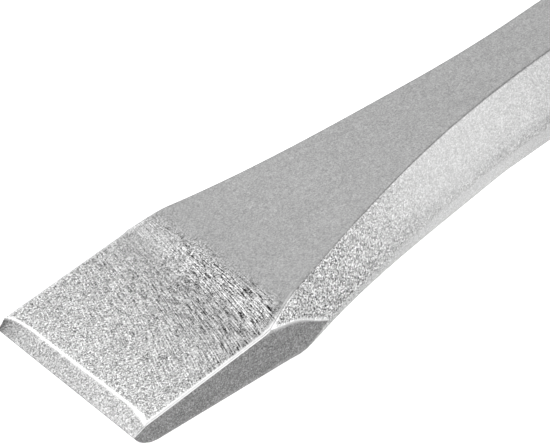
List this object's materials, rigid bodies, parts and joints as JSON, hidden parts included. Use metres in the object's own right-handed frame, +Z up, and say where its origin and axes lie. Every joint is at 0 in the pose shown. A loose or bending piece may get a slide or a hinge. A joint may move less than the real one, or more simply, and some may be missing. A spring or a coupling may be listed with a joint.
{
  "type": "pry bar",
  "caption": "Hexagonal forged pry bar with a flat chisel tip, a moulded soft-grip handle and a steel strike cap pinned to the through tang.",
  "frame": {"origin": "middle of the overall length, on the plane that the handle's flanges rest on", "axes": "+X runs along the bar from the chisel tip to the strike cap, +Z is up and square to a flat of the hexagon, and the blade's width is along Y"},
  "size_m": [0.406, 0.0414, 0.038],
  "materials": {
    "blasted_steel": "shot-blasted forging with burnished arrises",
    "bright_steel": "turned, light satin",
    "pin_steel": "oiled spring steel",
    "core_nylon": "moulded, fine spark texture",
    "grip_rubber": "soft-touch moulded",
    "accent_plastic": "satin moulded",
    "washer_rubber": "plain"
  },
  "bodies": {
    "root": {"pry_bar_forging": "blasted_steel", "front_bolster": "bright_steel", "bolster_pin": "pin_steel", "front_washer": "washer_rubber", "handle_core": "core_nylon", "core_pins": "pin_steel", "front_accent_ring": "accent_plastic", "soft_grip": "grip_rubber", "rear_accent_ring": "accent_plastic", "buffer_washer": "washer_rubber", "strike_cap": "bright_steel", "strike_cap_pin": "pin_steel"}
  },
  "joints": []
}
